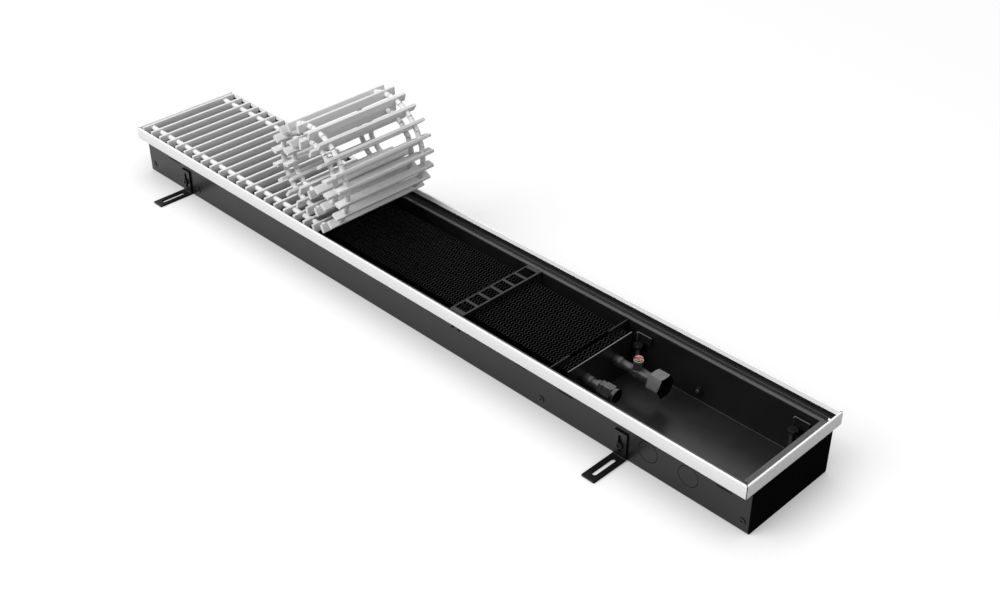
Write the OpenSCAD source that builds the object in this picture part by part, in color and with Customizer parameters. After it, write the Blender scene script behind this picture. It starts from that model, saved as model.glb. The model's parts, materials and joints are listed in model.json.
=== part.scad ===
// Trench convector heater with a roll-up grille, millimetres.
// Origin: centre of the underside. +X runs to the pipe-connection chamber, -Y is the front, +Z is up.

/* [Frame] */
// Outer length of the floor frame
frame_l = 1295; // [1290:1:1320]
// Outer width of the floor frame
frame_w = 200; // [198:1:206]
// Height of the lip's top edge above the floor slab
total_h = 88.7; // [86:0.1:92]
// Thickness of the upright lip
lip_t = 3.2; // [2:0.1:4]
// Height of the upright lip
lip_h = 19.8; // [18:0.1:20]
// Width of the seat flange along the long sides
side_flange = 16.1; // [15:0.1:16.5]
// Width of the seat flange along the ends
end_flange = 16.1; // [15:0.1:16.5]

/* [Trough] */
// Outer width of the sheet trough
trough_w = 165.2; // [165:0.1:166]
// Sheet thickness of trough and end plates
sheet = 1.5; // [1:0.1:1.8]
// Outer radius of the two folds along the floor
fold_r = 2; // [1.8:0.1:3]

/* [Grille] */
// Distance from slat to slat
pitch = 24.5; // [24.3:0.05:24.6]
// Number of slats that lie flat
flat_count = 19; // [18:1:19]
// Number of slats in the roll
roll_count = 34; // [28:1:34]
// Slat thickness
slat_t = 5; // [4:0.5:6]
// Slat height
slat_h = 13; // [11:0.5:13]
// Slat length, across the trough
slat_l = 187.2; // [184:0.1:188]
// Diameter of the spacer bushes
bush_d = 8.5; // [6:0.5:9]
// Distance of each bush row from the middle of the slats
bush_y = 75; // [60:1:80]
// How far the grille lies towards the back of its frame
grille_shift = 1.9; // [0:0.1:2]

/* [Roll] */
// Turn at each of the first two link joints, degrees
start_turn = 14.9; // [14:0.1:15]
// Turn at the first joint of the outer winding, degrees
outer_turn = 15.7; // [15.6:0.1:15.9]
// Turn added from joint to joint in the outer winding, degrees
outer_gain = 0.36; // [0.34:0.02:0.38]
// Turn at the first joint of the inner winding, degrees
inner_turn = 18.9; // [18.7:0.1:19.1]
// Turn added from joint to joint in the inner winding, degrees
inner_gain = 0.6; // [0.55:0.05:0.65]
// Turn at the first joint of the core, degrees
core_turn = 31.5; // [31:0.1:32]
// Turn added from joint to joint in the core, degrees
core_gain = 0.8; // [0.7:0.1:0.9]

/* [Heat exchanger] */
// Outer diameter of the water tubes
tube_d = 12; // [12:0.5:12.5]
// Distance of each tube from the middle
tube_y = 30.5; // [28:0.5:32]
// Height of the tubes
tube_z = 40.5; // [38:0.5:42]
// Distance from fin to fin
fin_pitch = 5.3; // [5:0.1:8]
// Fin thickness
fin_t = 0.4; // [0.3:0.1:0.5]

/* [Connections] */
// Across flats of the large union nut
big_nut_af = 31.5; // [30:0.5:32]
// Across flats of the small union nut
small_nut_af = 20; // [19:0.5:22]

/* [Hidden] */
$fn = 48;
GAP = 0.3;
lip_z = total_h - lip_h;
seat_z = lip_z + 6.3;
flange_t = 1.5;
flange_z = lip_z + 2.6;
end_x = frame_l / 2;
lip_in_x = end_x - lip_t;
lip_in_y = frame_w / 2 - lip_t;
wall_y = trough_w / 2;
wall_in = wall_y - sheet;
plate_x = end_x - 0.8;
trough_end = plate_x - sheet;
wall_top = flange_z;

slat_z = seat_z + slat_h / 2;
first_slat_x = -640;
gap = pitch - slat_t;
joint_gap = 0.4;
roll_start_x = first_slat_x + (flat_count - 0.5) * pitch;

fin_x0 = -610;
fin_x1 = 324;
fin_y = 63;
fin_z0 = 12;
fin_z1 = 67;
holder_x = [-495, 309];
partition_x = 329.5;

bolt_spots = [for (x = [-568, 338, 598]) for (s = [-1, 1]) [x, s * 70]];
bolt_r = 4;
tab_spots = [[-568, 32], [342.4, 25], [604.6, 24]];
tab_h = 14.2;
bracket_x = [-535, 441];
bracket_w = 22;
bracket_h = 42.7;
bracket_t = 2.5;
bracket_y = wall_y + GAP;
bracket_reach = 146.5;
foot_slot = [7, 43];
foot_slot_end = 10;
screw_z = 21;
rung_z = seat_z - 0.2;
ladder_x = [116, 143.5];
rivet_low_z = 15;
rivet_high_z = 48;
rivet_r = 1.6;
rivet_x = [-636, -505, 298, 635];
ladder_rivet_x = [123, 136];
knockout_x = [485, 550];

vent_x = 372;
big_nut_x = [399.5, 420.5];
small_nut_x = [366, 388];

// Turn at link joint j of the roll, j = 1 next to the flat slats.
function turn(j) = j <= 2 ? start_turn
    : j <= 13 ? outer_turn + outer_gain * (j - 3)
    : j <= 27 ? inner_turn + inner_gain * (j - 14)
    : core_turn + core_gain * (j - 28);
// Heading of the link after joint j, measured up from +X.
function heading(j) = j < 1 ? 0 : heading(j - 1) + turn(j);
// Position of link joint j in the XZ plane.
function joint_at(j) = j <= 1 ? [roll_start_x, slat_z]
    : joint_at(j - 1) + pitch * [cos(heading(j - 1)), sin(heading(j - 1))];

roll_names = [for (k = [1:roll_count]) str("rolled_slat_", k)];

// ---------- helpers ----------

module both_sides() {
    children();
    mirror([0, 1, 0]) children();
}

module along_x(x0, x1, r) {
    translate([x0, 0, 0]) rotate([0, 90, 0]) cylinder(r = r, h = x1 - x0);
}

// Hexagonal bar along X with a flat on top.
module hex_x(x0, x1, af) {
    translate([x0, 0, 0]) rotate([0, 90, 0]) rotate([0, 0, 30])
        cylinder(r = af / sqrt(3), h = x1 - x0, $fn = 6);
}

// Outline of the trough in the YZ plane: open top, folded lower corners.
module trough_outline(half, z0, z1, r) {
    translate([-half, z0 + r]) square([2 * half, z1 - z0 - r]);
    translate([-half + r, z0]) square([2 * (half - r), r + 0.01]);
    for (s = [-1, 1]) translate([s * (half - r), z0 + r]) circle(r = r);
}

module extrude_x(x0, x1) {
    translate([x0, 0, 0]) rotate([90, 0, 90]) linear_extrude(x1 - x0) children();
}

// ---------- trough ----------

module wall_rivet_holes() {
    for (x = rivet_x) translate([x, 0, rivet_low_z]) rivet_bore();
    for (x = ladder_rivet_x) translate([x, 0, rivet_high_z]) rivet_bore();
}

module rivet_bore() {
    rotate([90, 0, 0]) cylinder(r = rivet_r, h = 2 * wall_y + 2, center = true, $fn = 24);
}

// Punched ring that lets a pipe hole be knocked out.
module knockout_ring() {
    difference() {
        cylinder(r = 16, h = 0.9);
        translate([0, 0, -1]) cylinder(r = 15.2, h = 3);
    }
}

module wall_tab(x, w) {
    translate([x - w / 2, wall_in - 4, rivet_high_z + 0.6]) cube([w, 4, sheet]);
    translate([x - w / 2, wall_in - 4, rivet_high_z + 0.6]) cube([w, sheet, tab_h]);
    translate([x - w / 2, wall_in - 6.4, rivet_high_z + 1.9]) cube([sheet, 2.6, tab_h - 1.3]);
}

module trough_walls() {
    difference() {
        extrude_x(-trough_end, trough_end) difference() {
            trough_outline(wall_y, 0, wall_top, fold_r);
            trough_outline(wall_in, sheet, wall_top + 1, fold_r - sheet);
        }
        both_sides() {
            for (x = knockout_x)
                translate([x, -wall_y, 34]) rotate([-90, 0, 0]) knockout_ring();
            for (t = tab_spots)
                translate([t[0] - t[1] / 2, wall_in - 1, rivet_high_z - 1.2]) cube([t[1], sheet + 2, 1.8]);
            for (s = [-1, 1])
                translate([s * trough_end - 15, wall_in - 1, wall_top - flange_t])
                    cube([30, sheet + 2, flange_t + 1]);
        }
        translate([250, -wall_y - 1, 49]) cube([20, sheet + 2, 2]);
        wall_rivet_holes();
        for (b = bolt_spots) translate([b[0], b[1], -1]) cylinder(r = bolt_r + 0.05, h = 12);
        for (x = bracket_x) translate([x, 0, screw_z]) rotate([90, 0, 0])
            cylinder(r = 3, h = 2 * wall_y + 2, center = true);
    }
}

module trough() color("dimgray") {
    trough_walls();
    both_sides() {
        for (t = tab_spots) wall_tab(t[0], t[1]);
        translate([-610, wall_y - 0.2, wall_top - flange_t]) cube([1220, lip_in_y - wall_y - 0.3, flange_t]);
    }
    for (b = bolt_spots) translate([b[0], b[1], sheet]) difference() {
        cylinder(r = 6.5, h = 8);
        translate([0, 0, -1]) cylinder(r = bolt_r + 0.05, h = 10);
    }
}

// End plate with folded side and floor flanges that are riveted inside the trough.
module end_plate(marks) {
    difference() {
        union() {
            extrude_x(trough_end, plate_x) trough_outline(wall_y, 0, lip_z, fold_r);
            both_sides() translate([trough_end - 14, wall_in - 1.2, 9]) cube([14.2, 1.2, 54]);
            translate([trough_end - 12, -60, sheet]) cube([12.2, 120, 1.2]);
            translate([trough_end - 11, -70, lip_z - 1.2]) cube([11.2, 140, 1.2]);
        }
        rivets_in_plate();
        if (marks) for (y = [-32, 32])
            translate([plate_x, y, 34]) rotate([0, -90, 0]) knockout_ring();
    }
}

module rivets_in_plate() {
    for (x = rivet_x) translate([abs(x), 0, rivet_low_z]) rivet_bore();
}

module end_plate_right() color("black") end_plate(true);
module end_plate_left() color("black") mirror([1, 0, 0]) end_plate(false);

// ---------- floor frame ----------

// One mitred bar along X, outer face at y = 0, seat flange to +Y.
module frame_bar(length, flange) {
    deep = lip_t + flange;
    cut = 0.15;
    intersection() {
        rotate([90, 0, 90]) translate([0, 0, -length / 2]) linear_extrude(length) union() {
            polygon([
                [0, lip_z], [lip_t, lip_z],
                [lip_t, total_h - 0.6], [lip_t - 0.6, total_h],
                [0.8, total_h], [0.25, total_h - 0.25], [0, total_h - 0.8]
            ]);
            translate([lip_t - 0.1, flange_z]) square([flange + 0.1, flange_t]);
        }
        translate([0, 0, lip_z - 1]) linear_extrude(lip_h + 2) polygon([
            [-length / 2 + cut, 0], [length / 2 - cut, 0],
            [length / 2 - deep - cut, deep], [-length / 2 + deep + cut, deep]
        ]);
    }
}

module frame_front() color("whitesmoke") translate([0, -frame_w / 2, 0]) frame_bar(frame_l, side_flange);
module frame_back() color("whitesmoke") mirror([0, 1, 0]) frame_front();

module frame_right() color("silver") {
    translate([end_x, 0, 0]) rotate([0, 0, 90]) frame_bar(frame_w, end_flange);
    translate([0, 77, total_h - 2.7]) along_x(lip_in_x - 3.6, lip_in_x + 0.2, 1.5);
}

module frame_left() color("silver") translate([-end_x, 0, 0]) rotate([0, 0, -90]) frame_bar(frame_w, end_flange);

// Flat angles that join the mitred corners from below.
module corner_keys() color("gray") for (s = [-1, 1]) scale([s, 1, 1]) both_sides() {
    translate([612, wall_y + 1, flange_z - flange_t]) cube([lip_in_x - 612.4, lip_in_y - wall_y - 1.4, flange_t]);
    translate([lip_in_x - 11, 62, flange_z - flange_t]) cube([10.6, lip_in_y - 62.4, flange_t]);
}

// ---------- cushions ----------

// Strip with a low rib at the lip and a rounded bead at the free edge.
module side_cushions() color("darkslategray") both_sides() {
    bead_r = 1.6;
    bead_y = lip_in_y - side_flange + bead_r;
    base_z = flange_z + flange_t;
    extrude_x(-lip_in_x + GAP, lip_in_x - GAP) {
        translate([bead_y, base_z]) square([lip_in_y - 0.2 - bead_y, 1.2]);
        intersection() {
            translate([bead_y, seat_z - 0.1 - bead_r]) circle(r = bead_r);
            translate([bead_y - 2, base_z]) square([4, 4]);
        }
        translate([lip_in_y - 2.2, base_z]) square([2, 1.9]);
    }
}

module end_cushions() color("darkslategray") for (s = [-1, 1]) {
    base_z = flange_z + flange_t;
    inner = lip_in_x - end_flange + 0.1;
    half = lip_in_y - side_flange - 0.2;
    translate([s > 0 ? inner : -lip_in_x + 0.2, -half, base_z])
        cube([end_flange - 0.3, 2 * half, seat_z - 0.1 - base_z]);
}

// ---------- heat exchanger ----------

module fin() {
    rotate([90, 0, 90]) linear_extrude(fin_t) difference() {
        translate([-fin_y, fin_z0]) square([2 * fin_y, fin_z1 - fin_z0]);
        for (s = [-1, 1]) translate([s * tube_y, tube_z]) circle(d = tube_d);
    }
}

module fin_pack() color("dimgray")
    for (x = [fin_x0:fin_pitch:fin_x1])
        if (min([for (h = holder_x) abs(x - h)]) > 2.6) translate([x, 0, 0]) fin();

module tube_run(x0, x1, side) {
    translate([0, side * tube_y, tube_z]) difference() {
        along_x(x0, x1, tube_d / 2);
        along_x(x0 - 1, x1 + 1, tube_d / 2 - 1);
    }
}

module tube_corner(bend_r) {
    rotate_extrude(angle = 90) translate([bend_r, 0]) difference() {
        circle(d = tube_d);
        circle(d = tube_d - 2);
    }
}

// Two runs joined by a return bend at the blind end.
module exchanger_tubes() color("sienna") {
    bend_r = 14;
    bend_x = fin_x0 - 2;
    straight = tube_y - bend_r;
    tube_run(bend_x, 399, 1);
    tube_run(bend_x, 358, -1);
    translate([bend_x, straight, tube_z]) rotate([0, 0, 90]) tube_corner(bend_r);
    translate([bend_x, -straight, tube_z]) rotate([0, 0, 180]) tube_corner(bend_r);
    translate([bend_x - bend_r, 0, tube_z]) rotate([90, 0, 0]) difference() {
        cylinder(d = tube_d, h = 2 * straight, center = true);
        cylinder(d = tube_d - 2, h = 2 * straight + 2, center = true);
    }
}

// Cross plates with open middles: they carry the tubes and are riveted to the walls.
module exchanger_holders() color("black") for (x = holder_x) difference() {
    union() {
        extrude_x(x - sheet / 2, x + sheet / 2) difference() {
            trough_outline(wall_in, sheet, seat_z - 3, fold_r - sheet);
            translate([-40, 58]) square([80, 40]);
            for (s = [-1, 1]) translate([s * tube_y, tube_z]) circle(d = tube_d);
        }
        both_sides() translate([x - 17, wall_in - 1.2, 9]) cube([17, 1.2, 13]);
    }
    wall_rivet_holes();
}

module partition() color("black") {
    extrude_x(partition_x - sheet / 2, partition_x + sheet / 2) difference() {
        translate([-65, sheet]) square([130, 67]);
        for (s = [-1, 1]) translate([s * tube_y, tube_z]) circle(d = tube_d);
    }
    translate([partition_x - 12, -60, sheet]) cube([12, 120, 1.2]);
}

// Ladder-shaped support under the grille, with riveted legs.
module cross_bracket() color("dimgray") {
    long = ladder_x[1] - ladder_x[0];
    edge = lip_in_y - side_flange - GAP;
    step_z = flange_z - GAP;
    difference() {
        union() {
            translate([ladder_x[0], -edge, rung_z - sheet]) cube([long, 2 * edge, sheet]);
            translate([ladder_x[1] - 1.2, -edge + 8, rung_z - 7]) cube([1.2, 2 * edge - 16, 6]);
            both_sides() {
                translate([ladder_x[0], wall_in - 1.2, rivet_high_z - 7]) cube([long, 1.2, step_z - rivet_high_z + 7]);
                translate([ladder_x[0], edge - 1.2, step_z - 1.5]) cube([long, 1.2, rung_z - step_z + 1.4]);
            }
        }
        for (i = [0:5])
            translate([ladder_x[0] + 2.2, -72 + 24.8 * i, rung_z - 5]) cube([long - 5.4, 20, 10]);
        wall_rivet_holes();
    }
}

// ---------- pipe connections ----------

module vent_tee() color("dimgray") translate([0, tube_y, tube_z]) {
    neck_top = 60 - tube_z;
    difference() {
        union() {
            along_x(partition_x + sheet / 2, 343, 8);
            along_x(343, 362, tube_d / 2 + 0.6);
            along_x(362, 380, 7.5);
            along_x(380, 405.8, 8.5);
            along_x(403.3, 405.8, 11);
            translate([vent_x, 0, 0]) cylinder(r = 7.2, h = neck_top);
        }
        along_x(partition_x, 399, tube_d / 2);
        along_x(398, 407, 4.5);
        translate([vent_x, 0, 9]) cylinder(r = 4.1, h = 20);
    }
}

module vent_screw() color("peru") translate([vent_x, tube_y, 0]) difference() {
    union() {
        translate([0, 0, 51]) cylinder(r = 4.02, h = 10);
        translate([0, 0, 60.3]) cylinder(r = 7, h = 3.2);
        translate([0, 0, 63.5]) cylinder(r1 = 7, r2 = 6.4, h = 0.6);
    }
    translate([-8, -0.7, 62.6]) cube([16, 1.4, 3]);
}

module back_union_nut() color("gray") translate([0, tube_y, tube_z]) difference() {
    hex_x(big_nut_x[0], big_nut_x[1], big_nut_af);
    along_x(big_nut_x[0] - 1, big_nut_x[1] + 1, 8.58);
    along_x(big_nut_x[0] + 3.5, big_nut_x[1] + 1, 11.3);
    along_x(big_nut_x[0] + 6.5, big_nut_x[1] + 1, 12);
}

module front_fitting() color("dimgray") translate([0, -tube_y, tube_z]) difference() {
    union() {
        along_x(partition_x + sheet / 2, 343, 8);
        along_x(342.9, 352.1, tube_d / 2 + 0.6);
        along_x(352, 358.1, 8.5);
        hex_x(358, 365.6, 18);
        along_x(365.5, 373, 6.5);
        along_x(370.6, 373, 7.4);
    }
    along_x(partition_x, 358, tube_d / 2);
    along_x(357, 374, 4.5);
}

module front_union_nut() color("dimgray") translate([0, -tube_y, tube_z]) difference() {
    union() {
        hex_x(small_nut_x[0], small_nut_x[1] - 6, small_nut_af);
        along_x(small_nut_x[1] - 6.2, small_nut_x[1], small_nut_af / 2);
    }
    along_x(small_nut_x[0] - 1, small_nut_x[1] + 1, 6.58);
    along_x(small_nut_x[0] + 4, small_nut_x[1] + 1, 7.7);
    along_x(small_nut_x[0] + 7.3, small_nut_x[1] + 1, 8);
}

// ---------- feet and fasteners ----------

module levelling_bolts() color("silver") for (b = bolt_spots) translate([b[0], b[1], 0]) {
    difference() {
        cylinder(r = bolt_r, h = 45);
        translate([0, 0, -1]) difference() {
            cylinder(r = bolt_r + 1, h = 2);
            cylinder(r1 = bolt_r - 1.5, r2 = bolt_r, h = 2);
        }
    }
    translate([0, 0, 44]) cylinder(r = 13 / sqrt(3), h = 5.3, $fn = 6);
}

module floor_brackets() color("black") both_sides() for (x = bracket_x) difference() {
    union() {
        translate([x - bracket_w / 2, bracket_y, 1]) cube([bracket_w, bracket_t, bracket_h - 1]);
        translate([x - bracket_w / 2, bracket_y + 1, 0]) cube([bracket_w, bracket_reach - bracket_y - 1, bracket_t]);
    }
    slot_y = bracket_reach - foot_slot_end - foot_slot[1] / 2;
    translate([x, slot_y, -1]) {
        for (s = [-1, 1]) translate([0, s * (foot_slot[1] - foot_slot[0]) / 2, 0])
            cylinder(d = foot_slot[0], h = 6);
        translate([-foot_slot[0] / 2, (foot_slot[0] - foot_slot[1]) / 2, 0])
            cube([foot_slot[0], foot_slot[1] - foot_slot[0], 6]);
    }
    for (z = [13, 34]) translate([x, bracket_y - 1, z]) rotate([-90, 0, 0]) cylinder(r = 3.2, h = 6);
    translate([x - 3.2, bracket_y - 1, 13]) cube([6.4, 6, 21]);
}

module bracket_screws() color("silver") both_sides() for (x = bracket_x)
    translate([x, 0, screw_z]) rotate([-90, 0, 0]) {
        head_y = bracket_y + bracket_t + GAP;
        translate([0, 0, wall_in - 7]) cylinder(r = 3, h = head_y - wall_in + 7.5);
        translate([0, 0, head_y]) cylinder(r = 5.2, h = 2.2);
        translate([0, 0, head_y + 2.2]) cylinder(r1 = 5.2, r2 = 4, h = 1);
        translate([0, 0, wall_in - 5]) difference() {
            cylinder(r = 10 / sqrt(3), h = 5, $fn = 6);
            translate([0, 0, -1]) cylinder(r = 2.9, h = 7);
        }
    }

module rivet(x, z, flange) {
    translate([x, 0, z]) rotate([-90, 0, 0]) {
        translate([0, 0, wall_in - flange - 0.9]) cylinder(r = 2.6, h = 0.9, $fn = 24);
        translate([0, 0, wall_in - flange - 0.5]) cylinder(r = rivet_r, h = sheet + flange + 1, $fn = 24);
        translate([0, 0, wall_y]) cylinder(r1 = 3, r2 = 2, h = 1, $fn = 24);
    }
}

module wall_rivets() color("black") both_sides() {
    for (x = rivet_x) rivet(x, rivet_low_z, 1.2);
    for (x = ladder_rivet_x) rivet(x, rivet_high_z, 1.2);
}

// ---------- grille ----------

// One slat across the trough, centred on the origin.
module slat() {
    t = slat_t / 2;
    h = slat_h / 2;
    top = 0.7;
    foot = 0.4;
    translate([0, slat_l / 2 + grille_shift, 0]) rotate([90, 0, 0]) linear_extrude(slat_l) polygon([
        [-t + foot, -h], [t - foot, -h], [t, -h + foot], [t, h - top],
        [t - top, h], [-t + top, h], [-t, h - top], [-t, -h + foot]
    ]);
}

module at_bush_rows() {
    for (s = [-1, 1]) translate([0, grille_shift + s * bush_y, 0]) children();
}

// Half a bush on the +X side of a link joint, cut so that the joint turns freely from 0 to the given angle.
module half_bush(angle) {
    difference() {
        along_x(0, gap / 2 + 0.05, bush_d / 2);
        translate([joint_gap / 2 - 10, -10, -10]) cube([10, 20, 20]);
        rotate([0, angle / 2, 0]) translate([joint_gap / 2 - 10, -10, -10]) cube([10, 20, 20]);
    }
}

module flat_slats() color("gainsboro")
    for (i = [0:flat_count - 1]) translate([first_slat_x + i * pitch, 0, slat_z]) slat();

module flat_spacers() color("lightgray") {
    for (i = [0:flat_count - 2]) translate([first_slat_x + i * pitch + slat_t / 2, 0, slat_z])
        at_bush_rows() along_x(0, gap, bush_d / 2);
    translate([roll_start_x, 0, slat_z]) at_bush_rows() mirror([1, 0, 0]) difference() {
        half_bush(turn(1));
        translate([gap / 2, -10, -10]) cube(20);
    }
}

module rolled_slat(k) color("gainsboro")
    translate([joint_at(k)[0], 0, joint_at(k)[1]]) rotate([0, -heading(k), 0]) {
        at_bush_rows() half_bush(turn(k));
        translate([pitch / 2, 0, 0]) slat();
        if (k < roll_count) translate([pitch, 0, 0]) at_bush_rows() mirror([1, 0, 0]) half_bush(turn(k + 1));
    }

// ---------- selection ----------

trough();
end_plate_left();
end_plate_right();
frame_front();
frame_back();
frame_left();
frame_right();
corner_keys();
side_cushions();
end_cushions();
fin_pack();
exchanger_tubes();
exchanger_holders();
partition();
cross_bracket();
vent_tee();
vent_screw();
back_union_nut();
front_fitting();
front_union_nut();
levelling_bolts();
floor_brackets();
bracket_screws();
wall_rivets();
flat_slats();
flat_spacers();
for (k = [1:roll_count]) rolled_slat(k);
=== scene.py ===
# %% [markdown]
# # A trench heater with its grille rolled back
#
# A trench heater sits in a channel in the floor. A folded black sheet trough hangs in a pale aluminium
# frame, a finned heat exchanger lies along the trough, and a grille of cross slats covers it. The slats are
# strung together, so the grille rolls up like a carpet. Here a third of it lies flat and the rest is rolled
# up.
#
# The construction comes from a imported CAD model, which stays where it is. This script dresses it: it gives
# the folded sheets their powder coat, and replaces the plain solids that need a finer shape (slats, fins,
# bolts, nuts, strips).

# %% Load the frame and note its box
import json
import math

import bmesh
import bpy
import numpy as np
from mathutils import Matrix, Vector


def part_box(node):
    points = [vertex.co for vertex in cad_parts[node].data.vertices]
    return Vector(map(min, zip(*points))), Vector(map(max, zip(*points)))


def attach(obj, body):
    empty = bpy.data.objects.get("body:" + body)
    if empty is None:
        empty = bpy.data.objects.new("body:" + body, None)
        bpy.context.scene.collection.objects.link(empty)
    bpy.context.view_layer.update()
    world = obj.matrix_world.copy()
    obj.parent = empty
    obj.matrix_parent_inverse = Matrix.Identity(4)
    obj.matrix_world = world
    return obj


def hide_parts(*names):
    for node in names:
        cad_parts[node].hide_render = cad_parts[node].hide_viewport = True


MM = 0.001
WALL_INSIDE, WALL_OUTSIDE = 81.1, 82.6  # the long walls' faces, in millimetres from the middle plane
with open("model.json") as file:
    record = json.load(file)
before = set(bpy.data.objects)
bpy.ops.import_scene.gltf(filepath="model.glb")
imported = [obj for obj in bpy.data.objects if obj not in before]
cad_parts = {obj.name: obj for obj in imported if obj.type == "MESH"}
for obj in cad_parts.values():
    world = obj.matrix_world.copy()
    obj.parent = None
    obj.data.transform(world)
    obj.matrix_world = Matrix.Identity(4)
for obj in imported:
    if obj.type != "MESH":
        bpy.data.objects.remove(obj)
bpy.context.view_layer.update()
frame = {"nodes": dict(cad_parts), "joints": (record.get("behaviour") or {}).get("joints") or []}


def box_mm(node):
    """A CAD node's lowest and highest corner, in millimetres."""
    low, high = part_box(node)
    return np.array(low) / MM, np.array(high) / MM


# %% [markdown]
# ## Surfaces as arrays
#
# Every new piece below is a grid of points worked out with numpy. A grid has rows and columns, and each
# cell of it becomes a face. One could model such pieces by hand or with primitives and modifiers, but a
# grid states the shape as a formula, so a bolt's thread or a nut's chamfer is exact and easy to change.

# %% From a grid to a mesh part
def grid(points, loop_rows=False, loop_columns=False, caps=False):
    """A part (points, faces) from a rows x columns x 3 array.

    Each point is joined to the next in its row and to the same two in the next row. loop_rows and
    loop_columns join the last row or column to the first, and caps closes the first and last row with one
    face each."""
    rows, columns = points.shape[:2]
    i, j = np.meshgrid(
        np.arange(rows if loop_rows else rows - 1),
        np.arange(columns if loop_columns else columns - 1),
        indexing="ij",
    )
    below, beside = (i + 1) % rows * columns, (j + 1) % columns
    corners = [i * columns + j, i * columns + beside, below + beside, below + j]
    faces = np.stack(corners, -1).reshape(-1, 4).tolist()
    if caps:
        first = list(range(columns))
        faces += [first[::-1], [n + (rows - 1) * columns for n in first]]
    return points.reshape(-1, 3), faces


def xyz(x, y, z):
    """Points from three arrays or numbers, spread to a common shape."""
    return np.stack(np.broadcast_arrays(x, y, z), -1)


def together(parts):
    """Several parts as one part: the faces of each are numbered on from the points before it."""
    parts = list(parts)
    starts = np.cumsum([0] + [len(points) for points, _ in parts])
    faces = [[n + int(s) for n in face] for s, (_, some) in zip(starts, parts) for face in some]
    return np.concatenate([points for points, _ in parts]), faces


def moved(part, shift=(0, 0, 0), turn=None):
    """A copy of a part, first turned by a 3 x 3 matrix and then shifted, in millimetres."""
    points, faces = part
    return (points if turn is None else points @ np.asarray(turn).T) + np.asarray(shift, float), faces


def copies(part, spots, turn=None):
    """The same part at several places, as one part."""
    return together(moved(part, spot, turn) for spot in spots)


def mirrored(part, axis):
    """A copy of a part mirrored through the middle plane across that axis."""
    points, faces = part
    flip = np.ones(3)
    flip[axis] = -1
    return points * flip, faces


def both_sides(part, axis=1):
    """A part and its mirror image, front and back of the heater unless another axis is given."""
    return together([part, mirrored(part, axis)])


print("a 3 x 4 grid has", len(grid(np.zeros((3, 4, 3)))[1]), "faces")

# %% From a mesh part to a finished piece
WELD = 2e-6
CREASE = 32
BEVEL_OVER = 40
SHEET_BEVEL = 0.2


def wear(mesh, finishes, pick=None):
    """Gives a mesh its finishes. pick(centres in millimetres, normals) numbers the finish of each face,
    from 0; without it all faces take the first."""
    for each in finishes:
        mesh.materials.append(each)
    if pick is not None:
        centres, normals = np.empty(len(mesh.polygons) * 3), np.empty(len(mesh.polygons) * 3)
        mesh.polygons.foreach_get("center", centres)
        mesh.polygons.foreach_get("normal", normals)
        chosen = pick(centres.reshape(-1, 3) / MM, normals.reshape(-1, 3))
        mesh.polygons.foreach_set("material_index", chosen.astype(np.int32))


def soften(made, width, over=BEVEL_OVER):
    """Rounds the edges sharper than that many degrees by a width in millimetres."""
    soft = made.modifiers.new("soft edges", "BEVEL")
    soft.width, soft.segments, soft.angle_limit = width * MM, 2, math.radians(over)
    soft.harden_normals = True


def piece(name, part, body, finishes, replaces=(), pick=None, bevel=0.0):
    """A Blender object from a part in millimetres.

    Points closer than WELD metres are merged, faces without area go, and all faces are turned outwards.
    Edges sharper than CREASE degrees stay sharp."""
    mesh = bpy.data.meshes.new(name)
    mesh.from_pydata((part[0] * MM).tolist(), [], part[1])
    work = bmesh.new()
    work.from_mesh(mesh)
    bmesh.ops.remove_doubles(work, verts=work.verts, dist=WELD)
    bmesh.ops.dissolve_degenerate(work, edges=work.edges, dist=WELD / 2)
    bmesh.ops.recalc_face_normals(work, faces=work.faces)
    work.to_mesh(mesh)
    work.free()
    mesh.shade_smooth()
    mesh.set_sharp_from_angle(angle=math.radians(CREASE))
    made = bpy.data.objects.new(name, mesh)
    bpy.context.scene.collection.objects.link(made)
    wear(mesh, finishes, pick)
    if bevel:
        soften(made, bevel)
    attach(made, body)
    if replaces:
        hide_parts(*replaces)
    return made


def dress(cad_node, part, body, finishes, pick=None, bevel=0.0):
    """A piece that stands for the CAD node of that name."""
    return piece("dressed_" + cad_node, part, body, finishes, [cad_node], pick, bevel)


# %% Outlines with rounded corners
def rounded(corners, radii, steps=4):
    """A closed outline whose corners are arcs.

    At each corner the circle of that radius touches both sides: it starts radius / tan(half the corner's
    angle) before the corner, its centre lies on the bisector, and the arc is the start point turned about
    that centre."""
    corner = np.asarray(corners, float)
    back = np.roll(corner, 1, 0) - corner
    ahead = np.roll(corner, -1, 0) - corner
    back /= np.linalg.norm(back, axis=1, keepdims=True)
    ahead /= np.linalg.norm(ahead, axis=1, keepdims=True)
    half = np.arccos(np.clip((back * ahead).sum(1), -1, 1)) / 2
    radius = np.broadcast_to(np.asarray(radii, float), half.shape)
    middle = back + ahead
    middle /= np.linalg.norm(middle, axis=1, keepdims=True)
    centre = corner + middle * (radius / np.sin(half))[:, None]
    start = corner + back * (radius / np.tan(half))[:, None] - centre
    bend = np.sign(ahead[:, 0] * back[:, 1] - ahead[:, 1] * back[:, 0]) * (math.pi - 2 * half)
    angle = bend[:, None] * np.linspace(0, 1, steps + 1)
    cos, sin = np.cos(angle), np.sin(angle)
    x = start[:, :1] * cos - start[:, 1:] * sin + centre[:, :1]
    y = start[:, :1] * sin + start[:, 1:] * cos + centre[:, 1:]
    return np.stack([x, y], -1).reshape(-1, 2)


def shrunk(outline, by):
    """An outline drawn in towards its middle by that much, for the soft edge at the end of a bar."""
    middle = (outline.max(0) + outline.min(0)) / 2
    half = (outline.max(0) - outline.min(0)) / 2
    return middle + (outline - middle) * (1 - by / half)


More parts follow.
